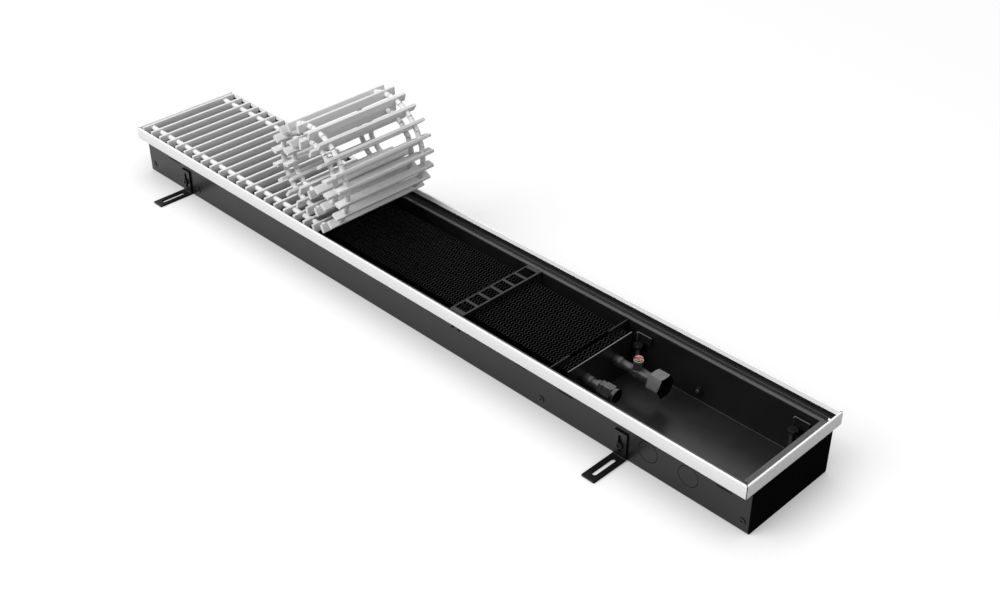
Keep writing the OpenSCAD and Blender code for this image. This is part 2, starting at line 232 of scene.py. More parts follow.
def bar_y(outline, ends, soft=0.3):
    """A bar along Y with that outline in the XZ plane: the outline is repeated at four places, and drawn in
    at both ends, so that the end edges are softly broken."""
    places = [ends[0], ends[0] + soft, ends[1] - soft, ends[1]]
    rows = [shrunk(outline, soft), outline, outline, shrunk(outline, soft)]
    points = [xyz(row[:, 0], y, row[:, 1]) for y, row in zip(places, rows)]
    return grid(np.array(points), loop_columns=True, caps=True)


test_outline = rounded([(-1, -1), (1, -1), (1, 1), (-1, 1)], 0.4)
print("a square with round corners:", len(test_outline), "points")

# %% [markdown]
# ## Finishes
#
# All finishes are procedural and read Object coordinates, which here are metres in the heater's own frame,
# so a pattern has a real size and stays on the piece when it moves. Each one starts from the Principled
# shader: plain numbers sit on its own sockets, and noise only varies them a little, as a real coating or
# anodised surface varies.

# %% Helpers for node materials
def finish(name, **sockets):
    """A new material; each keyword sets one plain number or colour on the Principled shader (under_scores
    are spaces)."""
    made = bpy.data.materials.new(name)
    made.use_nodes = True
    shader = made.node_tree.nodes["Principled BSDF"]
    for key, value in sockets.items():
        socket = shader.inputs[key.replace("_", " ")]
        socket.default_value = (*value, 1) if isinstance(value, tuple) and len(value) == 3 else value
    return made


def node(material, kind, inputs=None, **settings):
    """A new node. A socket given as an input is linked, and anything else is set as the input's value."""
    made = material.node_tree.nodes.new("ShaderNode" + kind)
    for key, value in settings.items():
        setattr(made, key, value)
    for key, value in (inputs or {}).items():
        if isinstance(value, bpy.types.NodeSocket):
            material.node_tree.links.new(value, made.inputs[key])
        else:
            made.inputs[key].default_value = value
    return made


def drive(material, socket, value):
    """Links a node's output into the Principled shader's socket of that name."""
    material.node_tree.links.new(value, material.node_tree.nodes["Principled BSDF"].inputs[socket])


def noise(material, scale, detail=3.0, stretch=(1, 1, 1)):
    """Noise with features about 1 / scale metres wide. A stretch under 1 draws them out along that axis."""
    place = node(material, "TexCoord").outputs["Object"]
    place = node(material, "Mapping", {"Vector": place, "Scale": stretch}).outputs["Vector"]
    settings = {"Vector": place, "Scale": scale, "Detail": detail, "Roughness": 0.55}
    return node(material, "TexNoise", settings).outputs["Fac"]


NOISE_SPAN = (0.3, 0.7)  # where nearly all of a noise's values lie


def spread(material, value, low, high):
    """Carries a pattern from its usual span to the span low to high."""
    ends = {"Value": value, "From Min": NOISE_SPAN[0], "From Max": NOISE_SPAN[1],
            "To Min": low, "To Max": high}
    return node(material, "MapRange", ends).outputs["Result"]


def shade(material, value, dark, light):
    """Colours the surface between two shades by a pattern."""
    ramp = node(material, "ValToRGB", {"Fac": value})
    for stop, where, colour in zip(ramp.color_ramp.elements, NOISE_SPAN, (dark, light)):
        stop.position, stop.color = where, (*colour, 1)
    drive(material, "Base Color", ramp.outputs["Color"])


def relief(material, *layers):
    """Bumps the surface by several patterns: each layer is (pattern, height in metres)."""
    normal = None
    for pattern, height in layers:
        inputs = {"Height": pattern, "Distance": height, "Strength": 1.0}
        if normal is not None:
            inputs["Normal"] = normal
        normal = node(material, "Bump", inputs).outputs["Normal"]
    drive(material, "Normal", normal)


def surface(name, dark, light, rough, cloud, gloss, *bumps, **sockets):
    """A finish that noise varies. cloud and gloss are noise settings (scale, detail, stretch): cloud
    carries the colour from dark to light, and gloss the roughness over the span rough. Each bump is (noise
    settings, height)."""
    made = finish(name, **sockets)
    shade(made, noise(made, *cloud), dark, light)
    drive(made, "Roughness", spread(made, noise(made, *gloss), *rough))
    relief(made, *((noise(made, *pattern), height) for pattern, height in bumps))
    return made


# %% [markdown]
# ### Powder coat on folded steel
#
# The trough and its brackets are sheet steel with a smooth black powder coat. The pigment itself is nearly
# black; the grey one sees is the pale room mirrored in the coat at a slant, so a wall is dark grey where it
# mirrors the white floor, and the trough's floor is only grey where it mirrors the room and not the
# opposite wall. Baked powder has an orange-peel skin: soft bumps about a millimetre wide and a few
# micrometres high, over a finer grain. An image texture could hold the skin, but two noises are enough and
# have no seams. The end plates are painted in shade: a dull black that mirrors almost nothing, which also
# serves as painted shade in slots, grooves, mouths and sawn ends. The trough's floor is painted a little
# paler and glossier than its walls, as painted light, and the tabs' cut edges and the folds are painted
# paler still, as painted highlights.

# %% Black coats
def powder_coat(name, dark, light, rough, specular, peel=1.4e-5):
    """Black coating: a broad cloudiness in the colour, a blotchy gloss, and orange peel over a fine
    grain."""
    bumps = ((850, 1.5), peel), ((5200, 2), peel * 0.2)
    return surface(name, dark, light, rough, (14, 4), (55, 5), *bumps, Specular_IOR_Level=specular)


trough_coat = powder_coat("black powder coat", (0.0050, 0.0048, 0.0050),
                          (0.0080, 0.0077, 0.0079), (0.28, 0.36), 0.42)
# Painted light: the trough's floor takes a paler, glossier copy of the coat, for the light it catches.
painted_light_floor_coat = powder_coat("trough coat painted paler on the floor", (0.0080, 0.0077, 0.0079),
                         (0.0120, 0.0116, 0.0118), (0.30, 0.38), 0.85)
# Painted shade: a dull black for faces that lie in shade, such as the end plates, slots and sawn ends.
painted_shade_coat = powder_coat("dull black painted shade", (0.0038, 0.0038, 0.0039), (0.0058, 0.0058, 0.0060), (0.5, 0.6), 0.0)
bracket_coat = powder_coat("bracket coat", (0.0026, 0.0026, 0.0027),
                           (0.0052, 0.0052, 0.0054), (0.30, 0.40), 0.45)
# Painted highlight: a pale coat for the lit cut edges of the tabs and the partition.
painted_edge_highlight = powder_coat("cut edge painted pale as highlight", (0.10, 0.10, 0.10),
                       (0.17, 0.17, 0.17), (0.4, 0.5), 0.5, 4e-6)
# Painted highlight: a pale coat along the lit inner side of folds.
painted_fold_highlight = powder_coat("painted highlight on the fold", (0.035, 0.035, 0.035),
                        (0.055, 0.055, 0.055), (0.3, 0.4), 0.5, 4e-6)
print("black coats:", trough_coat.name, painted_light_floor_coat.name, painted_shade_coat.name, bracket_coat.name, painted_edge_highlight.name)

# %% [markdown]
# ### Aluminium
#
# The frame bars and the slats are extruded aluminium, blasted and anodised in a natural tone. Blasting
# leaves a fine even grain, and the extrusion still shows through as faint long streaks. A fully metallic
# shader would mirror the room; the anodic layer scatters most of the light, so the finish is mostly a pale
# diffuse one with a low metallic share and a wide highlight. The slats are a tone darker than the frame.

# %% Anodised aluminium
def anodised(name, dark, light, along, rough=(0.46, 0.56), metallic=0.03):
    """Pale metal: streaks drawn out along one axis (0, 1 or 2) in colour and gloss, and a fine blasted
    grain."""
    streaks = (900, 3, tuple(0.02 if axis == along else 1.0 for axis in range(3)))
    return surface(name, dark, light, rough, streaks, (70, 4), (streaks, 3e-6), ((4200, 2), 4e-6),
                   Metallic=metallic, Specular_IOR_Level=0.2)


frame_metal = [anodised("anodised frame " + "xy"[axis], (0.78, 0.78, 0.78), (0.82, 0.815, 0.815), axis)
               for axis in (0, 1)]
slat_metal = anodised("anodised slats", (0.64, 0.64, 0.64), (0.70, 0.70, 0.70), 1)
key_metal = anodised("mill finish keys", (0.42, 0.42, 0.43), (0.52, 0.52, 0.52), 0, (0.35, 0.5), 0.7)
print("aluminium finishes:", [m.name for m in (*frame_metal, slat_metal, key_metal)])

# %% [markdown]
# ### Plastic bushes, rubber strips and fins
#
# The bushes between the slats are pale moulded plastic, a little softer in tone than the metal. The strips
# that the grille rests on are smooth black rubber with a broad soft shine and a little sheen at grazing
# angles; the bead's crown and the end strips are painted paler, as painted sheen. The fins are thin
# lacquered aluminium, nearly black, and only their cut top edges catch the light, painted on them as a
# paler highlight.

# %% Plastic, rubber and fin lacquer
bush_plastic = surface("pale moulded bush", (0.66, 0.66, 0.655), (0.72, 0.72, 0.715), (0.45, 0.6), (160, 3),
                       (400, 3), ((2600, 2), 6e-6), Specular_IOR_Level=0.4)


def strip_rubber(name, dark, light, specular):
    """Extruded rubber: cloudy black, with the gloss and the fine grain drawn out along the trough."""
    gloss, grain = (240, 3, (0.1, 1, 1)), (3000, 3, (0.15, 1, 1))
    return surface(name, dark, light, (0.26, 0.36), (30, 5), gloss, (grain, 8e-6),
                   Specular_IOR_Level=specular, Sheen_Weight=0.05, Sheen_Roughness=0.4)


rubber = strip_rubber("black rubber strip", (0.0040, 0.0038, 0.0039),
                      (0.0070, 0.0067, 0.0069), 0.6)
# Painted sheen: a paler copy of the rubber for where the strips shine.
rubber_painted_sheen = strip_rubber("rubber painted pale as sheen", (0.022, 0.0215, 0.0218),
                           (0.032, 0.0312, 0.0316), 0.9)

fin_lacquer = powder_coat("fin lacquer", (0.0012, 0.0012, 0.0013),
                          (0.0022, 0.0022, 0.0024), (0.5, 0.6), 0.15, 4e-6)
# Painted highlight: a paler lacquer for the fins' lit top edges.
fin_edge_highlight = powder_coat("painted highlight on fin top edge", (0.016, 0.016, 0.017), (0.03, 0.03, 0.031), (0.4, 0.5), 0.5, 4e-6)
print("soft and thin finishes:", [m.name for m in (bush_plastic, rubber, rubber_painted_sheen, fin_lacquer, fin_edge_highlight)])

# %% [markdown]
# ### Pipe fittings, copper and plated steel
#
# The fittings are cast and turned brass that has been lacquered dark grey with the exchanger, so they shine
# a little more than the sheet. The vent's screw stays bare copper-coloured metal over a bright ring, and
# the levelling bolts are zinc plated and blackened.

# %% Fittings and fasteners
def turned_metal(name, dark, light, rough, metallic, grain=4e-6):
    """Machined metal: cloudy colour, fine scuffs in the gloss, and a fine grain."""
    return surface(name, dark, light, rough, (120, 5), (600, 4), ((3500, 2), grain), ((700, 3), grain),
                   Metallic=metallic, Specular_IOR_Level=0.5)


fitting_grey = turned_metal("lacquered fitting", (0.085, 0.083, 0.085),
                            (0.150, 0.147, 0.150), (0.26, 0.36), 0.85, 2e-6)
nut_grey = turned_metal("lacquered union nut", (0.160, 0.157, 0.159),
                        (0.205, 0.201, 0.204), (0.28, 0.38), 0.85, 1e-6)
# The copper's colour swings from very dark to pale in patches: random tone, and painted highlights.
copper = turned_metal("copper screw with painted highlights", (0.09, 0.025, 0.02), (0.85, 0.45, 0.38), (0.12, 0.3), 1.0, 8e-6)
bright_ring = turned_metal("bright ring", (0.66, 0.66, 0.66), (0.86, 0.86, 0.85), (0.16, 0.3), 1.0, 2e-6)
black_zinc = turned_metal("blackened zinc", (0.008, 0.008, 0.009), (0.020, 0.020, 0.021), (0.34, 0.46), 0.5)
stud_end_highlight = turned_metal("stud end painted pale as highlight", (0.10, 0.10, 0.105), (0.20, 0.20, 0.205), (0.25, 0.35), 0.8)
tube_lacquer = turned_metal("lacquered copper tube", (0.010, 0.009, 0.009),
                            (0.020, 0.018, 0.018), (0.35, 0.5), 0.3)
print("metal finishes:", fitting_grey.name, nut_grey.name, copper.name, bright_ring.name, black_zinc.name)

# %% [markdown]
# ## The grille's slats
#
# Each slat is a short length of flat aluminium bar, 5 mm thick and 13 mm high, with broken edges. A scaled
# cube would have razor edges that never catch the light, so the outline gets real arcs and the ends are
# drawn in a little. All slats are the same shape, worked out once and copied.

# %% One slat and the flat ones
PITCH = 24.5
FLAT_SLATS = 19
HALF_SLAT = 2.5
low, high = box_mm("flat_slats")
slat_ends = (low[1], high[1])
slat_height = high[2] - low[2]
slat_middle_z = (low[2] + high[2]) / 2
first_slat_x = low[0] + HALF_SLAT
slat_thick = high[0] - low[0] - (FLAT_SLATS - 1) * PITCH
half_t, half_h = slat_thick / 2, slat_height / 2
slat_outline = rounded([(-half_t, -half_h), (half_t, -half_h), (half_t, half_h), (-half_t, half_h)],
                       (0.4, 0.4, 0.7, 0.7), 3)
slat = bar_y(slat_outline, slat_ends)
flat_spots = [(first_slat_x + n * PITCH, 0, slat_middle_z) for n in range(FLAT_SLATS)]
dress("flat_slats", copies(slat, flat_spots), "grille", [slat_metal])
print("slat", round(slat_thick, 2), "x", round(slat_height, 2), "mm,", len(slat[1]), "faces")

# %% [markdown]
# ## Bushes between the slats
#
# Two rows of bushes keep the slats apart. Half of each bush belongs to the slat on either side, and the
# joint runs between the halves, so the grille can bend there. In the roll the halves are cut at half the
# joint's angle, like the segments of a lobster-back pipe bend. Each half is a turned surface whose end
# follows that mitre. Where the grille stays flat, nothing bends, and a bush is a plain short tube from slat
# to slat.

# %% Half a bush
BUSH_R = 4.25
BUSH_SOFT = 0.12
BUSH_SINK = 0.05
BUSH_ROW_Y = 75
BUSH_COLUMNS = 16
JOINT_GAP = 0.4
bush_rows = [(slat_ends[0] + slat_ends[1]) / 2 + side * BUSH_ROW_Y for side in (-1, 1)]
slat_face = (PITCH - slat_thick) / 2 + BUSH_SINK


def half_bush(angle, y):
    """Half a bush on the +X side of a link joint at the origin, cut for a joint that bends by that angle.

    The mitre plane leans back by half the angle, so at the height z the bush starts at (half the gap + z
    sin(angle / 2)) / cos(angle / 2), but never closer than half the gap."""
    phi = np.linspace(0, 2 * math.pi, BUSH_COLUMNS, endpoint=False)
    rows = []
    for radius, inset in ((0, 0), (BUSH_R - BUSH_SOFT, 0), (BUSH_R, BUSH_SOFT), (BUSH_R, None), (0, None)):
        z = radius * np.sin(phi)
        cut = (JOINT_GAP / 2 + z * math.sin(angle / 2)) / math.cos(angle / 2)
        start = np.maximum(cut, JOINT_GAP / 2)
        x = slat_face if inset is None else start + inset
        rows.append(xyz(x, y + radius * np.cos(phi), z))
    return grid(np.array(rows), loop_columns=True)


def bush_pair(angle):
    """The halves of one link joint in both bush rows."""
    return together(half_bush(angle, y) for y in bush_rows)


link_joints = sorted((j for j in frame["joints"] if j["name"].startswith("roll_link_")),
                     key=lambda j: int(j["name"].rsplit("_", 1)[1]))
turns = [math.radians(j["range_deg"][1]) for j in link_joints]
around = np.linspace(0, 2 * math.pi, BUSH_COLUMNS, endpoint=False)
rings = [xyz(x, BUSH_R * np.cos(around), BUSH_R * np.sin(around)) for x in (-slat_face, slat_face)]
tube = grid(np.array(rings), loop_columns=True, caps=True)
tube_pair = copies(tube, [(PITCH / 2, y, 0) for y in bush_rows])
roll_start = first_slat_x + (FLAT_SLATS - 0.5) * PITCH
last_halves = moved(mirrored(bush_pair(turns[0]), 0), (roll_start, 0, slat_middle_z))
flat_bushes = [copies(tube_pair, flat_spots[:-1]), last_halves]
dress("flat_spacers", together(flat_bushes), "grille", [bush_plastic])
print(len(link_joints), "link joints turn by", round(math.degrees(sum(turns)), 1), "degrees in all")

# %% [markdown]
# ## The roll
#
# From the last flat slat on, each link is turned a little further than the one before it, gently at first,
# then evenly round the outer winding, then tighter inside. The frame already holds every joint's place and
# its full travel back to straight, so the roll is drawn from those: a link's heading is the sum of all
# turns up to it. A spiral formula could place the slats too, but then slats and joints might drift apart.

# %% Slats and bushes of the roll
headings = np.cumsum(turns)
for k, (joint, heading) in enumerate(zip(link_joints, headings)):
    bar = moved(slat, (PITCH / 2, 0, 0))
    bushes = [bush_pair(turns[k])]
    if k + 1 < len(turns):
        bushes.append(moved(mirrored(bush_pair(turns[k + 1]), 0), (PITCH, 0, 0)))
    cos, sin = math.cos(heading), math.sin(heading)
    turn = [[cos, 0, -sin], [0, 1, 0], [sin, 0, cos]]
    place = np.array(joint["pos_m"]) / MM
    body, stands_for = joint["child"], [f"rolled_slat_{k + 1}"]
    piece(f"dressed_link_{k + 1}", moved(bar, place, turn), body, [slat_metal], stands_for)
    piece(f"link_bushes_{k + 1}", moved(together(bushes), place, turn), body, [bush_plastic])
print("roll of", len(link_joints), "slats, wound", round(math.degrees(headings[-1])), "degrees in all")

# %% [markdown]
# ## The floor frame
#
# Four angle bars, mitred at the corners, line the edge of the floor. Each has an upright lip whose top edge
# is rounded and a flange inwards that carries the grille. The outline is one closed polygon with arcs, and
# it is carried along the bar to slanted ends: a point that lies further in ends that much sooner, which
# makes the 45 degree mitre by itself. The bars stop short of each other by a hair, and the sawn ends are
# painted dark as shade, so each corner shows a thin line.

# %% Mitred bars
low, high = box_mm("frame_front")
LIP_T = 3.2
FLANGE_T = 1.5
FLANGE_RISE = 2.6
CAD_MITRE = 0.15
MITRE_GAP = 0.8
frame_length = high[0] - low[0] + 2 * CAD_MITRE
lip_low, lip_top = low[2], high[2]
side_depth = high[1] - low[1]
left_low, left_high = box_mm("frame_left")
end_depth = left_high[0] - left_low[0]
frame_width = left_high[1] - left_low[1] + 2 * CAD_MITRE
flange_z = lip_low + FLANGE_RISE


def mitred_bar(length, depth):
    """A bar along X with its outer face at y = 0: at the inward distance p it ends at half the length less
    p."""
    outline = rounded(
        [(0, lip_low), (LIP_T, lip_low), (LIP_T, flange_z), (depth, flange_z), (depth, flange_z + FLANGE_T),
         (LIP_T, flange_z + FLANGE_T), (LIP_T, lip_top), (0, lip_top)],
        (0.3, 0.3, 0.25, 0.4, 0.4, 0.35, 0.8, 1.1), 5)
    end = length / 2 - outline[:, 0] - MITRE_GAP
    rows = [xyz(x, outline[:, 0], outline[:, 1]) for x in (-end, -end / 3, end / 3, end)]
    return grid(np.array(rows), loop_columns=True, caps=True)


def mitre_shade_faces(centre, normal):
    """The saw cut at a bar's end, painted dark as shade: faces that look half along X and half along Y."""
    return (np.abs(normal[:, 0]) > 0.6) & (np.abs(normal[:, 1]) > 0.6)


QUARTER = np.array([[0, -1, 0], [1, 0, 0], [0, 0, 1]])
front_bar = moved(mitred_bar(frame_length, side_depth), (0, -frame_width / 2, 0))
end_bar = moved(mitred_bar(frame_width, end_depth), (frame_length / 2, 0, 0), QUARTER)
for name, bar, axis in (("frame_front", front_bar, 0), ("frame_back", mirrored(front_bar, 1), 0),
                        ("frame_left", mirrored(end_bar, 0), 1)):
    dress(name, bar, "heater", [frame_metal[axis], painted_shade_coat], mitre_shade_faces)
print("frame", round(frame_length, 1), "x", round(frame_width, 1), "mm")

# %% [markdown]
# ## Turned parts
#
# Pins, rivets, bolts, nuts and pipe fittings are all turned shapes, and some of them have a hexagon milled
# on. One helper makes them all: each row of the grid is a ring, given by its height and its radius, and the
# radius may change with the angle. So a hexagon is only a ring whose radius follows its flats, and a thread
# is a wall whose radius follows a saw tooth that climbs with the angle.

# %% Turned surfaces
TURN_COLUMNS = 48


def angles(columns=TURN_COLUMNS):
    """The directions of a ring's points, once round."""
    return np.linspace(0, 2 * math.pi, columns, endpoint=False)


def turned(rings, columns=TURN_COLUMNS, closed=False):
    """A turned part round the Z axis from rings of (height, radius), where both may be arrays over the
    angle.

    closed joins the last ring to the first, for a part with a hole; otherwise the first and last radius are
    0."""
    phi = angles(columns)
    rows = [xyz(radius * np.cos(phi), radius * np.sin(phi), height) for height, radius in rings]
    return grid(np.array(rows), loop_rows=closed, loop_columns=True)


def hexagon(across_flats, corner_at=0.0, columns=TURN_COLUMNS):
    """The radius of a hexagon at each angle: half the width across flats over the cosine from the nearest
    flat."""
    from_flat = (angles(columns) - corner_at) % (math.pi / 3) - math.pi / 6
    return across_flats / 2 / np.cos(from_flat)


def chamfered(across_flats, height, up=1, corner_at=0.0, columns=TURN_COLUMNS, kept_face=0.96):
    """The hexagon's edge under a 30 degree chamfer: it drops by the overhang past the turned face times tan
    30."""
    radius = hexagon(across_flats, corner_at, columns)
    face = np.minimum(across_flats / 2 * kept_face, radius)
    return (height - up * (radius - face) * math.tan(math.pi / 6), radius), (height, face)


def arc(height, radius, bend, start, end, steps=4):
    """Rings along a quarter-like arc: (height + bend sin t, radius + bend cos t), with t from start to end
    degrees."""
    t = np.radians(np.linspace(start, end, steps + 1))
    return [(height + bend * math.sin(a), radius + bend * math.cos(a)) for a in t]


ALONG_X = np.array([[0, 0, 1], [0, 1, 0], [-1, 0, 0]])
FLAT_UP = math.pi / 6
ALONG_Y = np.array([[1, 0, 0], [0, 0, 1], [0, -1, 0]])
print("a 13 mm hexagon is", round(float(hexagon(13).max()) * 2, 2), "mm over its corners")

# %% The right bar with its pin
PIN_DROP = 2.7
PIN_Y = 77
pin_z = lip_top - PIN_DROP
pin = turned([(-3.6, 0), *arc(-3.0, 0.9, 0.6, -90, 0, 4), (0.2, 1.5), (0.2, 0)], 24)
right_pin = moved(pin, (frame_length / 2 - LIP_T, PIN_Y, pin_z), ALONG_X)
right_finishes = [frame_metal[1], painted_shade_coat]
dress("frame_right", together([end_bar, right_pin]), "heater", right_finishes, mitre_shade_faces)
print("pin at", round(pin_z, 1), "mm")

# %% [markdown]
# ## Rubber strips
#
# The grille lies on rubber, so that it doesn't rattle. Each long strip has a thin leg up the lip, a low
# rib, a channel, and a broad round bead that wraps the flange's free edge. Such a strip is extruded, so
# here too one outline is carried along X. The short strips at the ends are flat.

# %% Side and end strips
low, high = box_mm("side_cushions")
strip_half, strip_base, bead_top = high[0], low[2], high[2]
lip_inside = frame_width / 2 - LIP_T
flange_reach = side_depth - LIP_T


def side_strip_outline():
    """The strip's section, as (distance from the lip, height above the flange). The bead is half an
    ellipse."""
    wide, tall, free_edge = 3.55, bead_top - strip_base - 0.5, flange_reach + 0.25
    t = np.radians(np.linspace(172, 12, 14))
    bead = np.stack([free_edge - wide + wide * np.cos(t), 0.5 + tall * np.sin(t)], -1)
    wrap = rounded([(free_edge, -1.5), (flange_reach + 0.03, -1.5), (flange_reach + 0.03, 0),
                    (0.05, 0), (0.05, 8.3), (0.75, 8.3), (0.75, 1.7), (3.3, 1.7), (4.4, 0.5),
                    (bead[0, 0] - 0.6, 0.5)],
                   (0.08, 0.08, 0.05, 0.05, 0.25, 0.25, 0.3, 0.7, 0.5, 0.3), 3)
    return np.concatenate([bead, wrap])


def side_strip():
    """The front strip: its outline stands on the flange and runs along X."""
    outline = side_strip_outline()
    rows = [xyz(x, outline[:, 0] - lip_inside, outline[:, 1] + strip_base)
            for x in np.linspace(-strip_half, strip_half, 9)]
    return grid(np.array(rows), loop_columns=True, caps=True)


def bead_sheen_faces(centre, normal):
    """The bead's crown and its inner flank, which are painted paler as sheen."""
    from_lip = lip_inside - np.abs(centre[:, 1])
    return (from_lip > flange_reach - 5.2) & (centre[:, 2] > strip_base + 0.7)


dress("side_cushions", both_sides(side_strip()), "heater", [rubber, rubber_painted_sheen], bead_sheen_faces)

low, high = box_mm("end_cushions")
end_top = high[2] - strip_base
end_width = end_depth - LIP_T - 0.3
end_outline = rounded([(0, 0), (end_width, 0), (end_width, end_top), (0, end_top)], (0.2, 0.3, 0.8, 0.4), 4)
end_outline[:, 1] += strip_base
end_outline[:, 0] = high[0] - end_outline[:, 0]
end_strip = bar_y(end_outline, (low[1], high[1]), 0.2)
# The end strips are painted paler all over, as painted sheen.
dress("end_cushions", both_sides(end_strip, 0), "heater", [rubber_painted_sheen])
print("side strips", round(2 * strip_half), "mm long, end strips", round(high[1] - low[1]), "mm long")

# %% [markdown]
# ## Waved fins
#
# A convector's fins are thin plates threaded on the water tubes, pressed into waves that stiffen them and
# stir the air. Seen from above they make a net of zigzag lines. Each fin is a ring of four points carried
# along Y while it swings from side to side. Four places to a wave are enough to draw the zigzag, which
# keeps the pack light, because there are well over a hundred fins.

# %% The fin pack
FIN_PITCH = 5.3
FIN_T = 0.4
WAVE_LENGTH = 10.5
WAVE_HEIGHT = 1.75
HOLDER_IN = (17, -0.75)
HOLDER_CLEAR = 3
low, high = box_mm("fin_pack")
holder_box = box_mm("exchanger_holders")
holder_x = np.array([holder_box[end][0] + HOLDER_IN[end] for end in (0, 1)])
fin_count = round((high[0] - FIN_T - low[0]) / FIN_PITCH) + 1
fin_x = low[0] + np.arange(fin_count) * FIN_PITCH
print("fins from", round(low[0]), "to", round(high[0]), "mm:", fin_count)


def waved_fin(columns_per_wave=4):
    """One fin at x = 0: x swings by WAVE_HEIGHT * (2 / pi) * arcsin(0.96 sin(2 pi y / WAVE_LENGTH))."""
    waves = (high[1] - low[1]) / WAVE_LENGTH
    y = np.linspace(low[1], high[1], int(round(waves * columns_per_wave)) + 1)
    x = WAVE_HEIGHT * (2 / math.pi) * np.arcsin(0.96 * np.sin(2 * math.pi * y / WAVE_LENGTH))
    half = FIN_T / 2
    ring = [(-half, low[2]), (half, low[2]), (half, high[2]), (-half, high[2])]
    points = [xyz(x + dx, y, z) for dx, z in ring]
    return grid(np.array(points).transpose(1, 0, 2), loop_columns=True, caps=True)


fin = waved_fin()
pack = copies(fin, [(x, 0, 0) for x in fin_x if np.abs(x - holder_x).min() > HOLDER_CLEAR])
# The fins' top faces take the painted highlight.
piece("dressed_fins", pack, "heater", [fin_lacquer, fin_edge_highlight], ["fin_pack"],
      lambda centre, normal: centre[:, 2] > high[2] - 0.01)
print("one fin has", len(fin[1]), "faces, the pack", len(pack[1]))

# %% [markdown]
# ## Levelling bolts
#
# Six M8 bolts screw down through the floor of the trough and carry the heater on the slab. The thread is
# the same for all of them: the wall's radius is the root plus a share of the thread's depth, which rises
# and falls once per millimetre and a quarter of height and is shifted by the angle, so the ridge climbs
# round as a helix. The head has the usual chamfer, which cuts the hexagon's corners to arcs.

# %% Bolts with a real thread
BOLT_R = 4.0
THREAD_PITCH = 1.25
THREAD_DEPTH = 0.6
HEAD_FLATS = 13.0
HEAD_HEIGHT = 5.3
BOLT_X, BOLT_Y = (-568, 338, 598), 70
bolt_top = box_mm("levelling_bolts")[1][2]
bolt_spots = [(x, side * BOLT_Y, 0) for x in BOLT_X for side in (-1, 1)]


def thread_rings(bottom, top, outer, depth, pitch, columns, steps_per_pitch=6):
    """Rings of a threaded wall: radius = outer - depth * (distance from the ridge, as a share of half a
    pitch)."""
    turns_round = angles(columns) / (2 * math.pi)
    heights = np.arange(bottom, top, pitch / steps_per_pitch)
    phase = (heights[:, None] / pitch - turns_round[None, :]) % 1
    radii = outer - depth * (1 - np.abs(2 * phase - 1))
    return list(zip(heights, radii))


def levelling_bolt(columns=24):
    """Point at the slab, threaded shank, washer face and chamfered head."""
    under = bolt_top - HEAD_HEIGHT
    flat_top = chamfered(HEAD_FLATS, bolt_top, 1, columns=columns)
    rings = [(0.0, 0), (0.0, BOLT_R - 1.4), (1.0, BOLT_R - 0.5)]
    rings += thread_rings(1.2, under - 2.0, BOLT_R, THREAD_DEPTH, THREAD_PITCH, columns)
    rings += [(under - 1.6, BOLT_R - 0.3), (under, BOLT_R - 0.3)]
    rings += [(under, hexagon(HEAD_FLATS, columns=columns)), *flat_top]
    rings += [(bolt_top - 0.25, HEAD_FLATS / 2 * 0.82), (bolt_top - 0.25, 0)]
    return turned(rings, columns)


bolt = levelling_bolt()
dress("levelling_bolts", copies(bolt, bolt_spots), "levelling", [black_zinc])
print("each bolt", round(bolt_top, 1), "mm long,", len(bolt[1]), "faces")

# %% [markdown]
# ## Vent, tee and fittings
#
# The back tube ends in a tee with an upright neck for the vent screw, and then in a collar that holds the
# large union nut. The front tube ends in a stepped fitting with its own hexagon and a smaller nut. All are
# turned parts along X; soft shoulders between the steps make them read as castings and not as stacked
# cylinders.

# %% Steps of a turned fitting
def stepped(steps, soft=0.5):
    """Rings for a shaft of several steps, each (start, end, radius), with a quarter-round shoulder at every
    edge."""
    rings = [(steps[0][0], 0)]
    for start, end, radius in steps:
        rings += arc(start + soft, radius - soft, soft, -90, 0, 3)
        rings += arc(end - soft, radius - soft, soft, 0, 90, 3)
    return rings + [(steps[-1][1], 0)]


TUBE_Y = 30.5
TUBE_Z = 40.5
partition_face = box_mm("partition")[1][0]
low, high = box_mm("vent_tee")
tee_end, neck_top = high[0], high[2] - TUBE_Z
vent_x = (box_mm("vent_screw")[0][0] + box_mm("vent_screw")[1][0]) / 2

grommet = [(partition_face, 343, 8), (342, 344.5, 7.3)]
tee_steps = [*grommet, (343.5, 363, 6.6), (362, 380, 7.5), (379.4, tee_end - 2.2, 8.5)]
tee_body = turned(stepped(tee_steps, 0.4))
collar = turned([(403.3, 0), *arc(403.6, 10.7, 0.3, -90, 0, 2), *arc(tee_end - 0.3, 10.7, 0.3, 0, 90, 2),
                 (tee_end, 4.8), (tee_end - 6, 4.5), (tee_end - 6, 0)])
neck_rings = [(-4, 0), (-4, 8.6)]
neck_rings += [(z, 7.2 + 1.3 * math.exp(-(z - 5.2) / 1.1)) for z in np.linspace(5.2, 9.5, 8)]
neck_rings += [(10.4, 7.2), (10.9, 6.95), (11.6, 6.95), (12.1, 7.2), (14.4, 7.2), (14.9, 6.95), (15.6, 6.95),
               (16.1, 7.2), *arc(neck_top - 0.5, 6.7, 0.5, 0, 90, 3), (neck_top, 4.15), (neck_top - 9, 4.1),
               (neck_top - 9, 0)]
tee = together([moved(tee_body, turn=ALONG_X), moved(collar, turn=ALONG_X),
                moved(turned(neck_rings), (vent_x, 0, 0))])
dress("vent_tee", moved(tee, (0, TUBE_Y, TUBE_Z)), "heater", [fitting_grey])

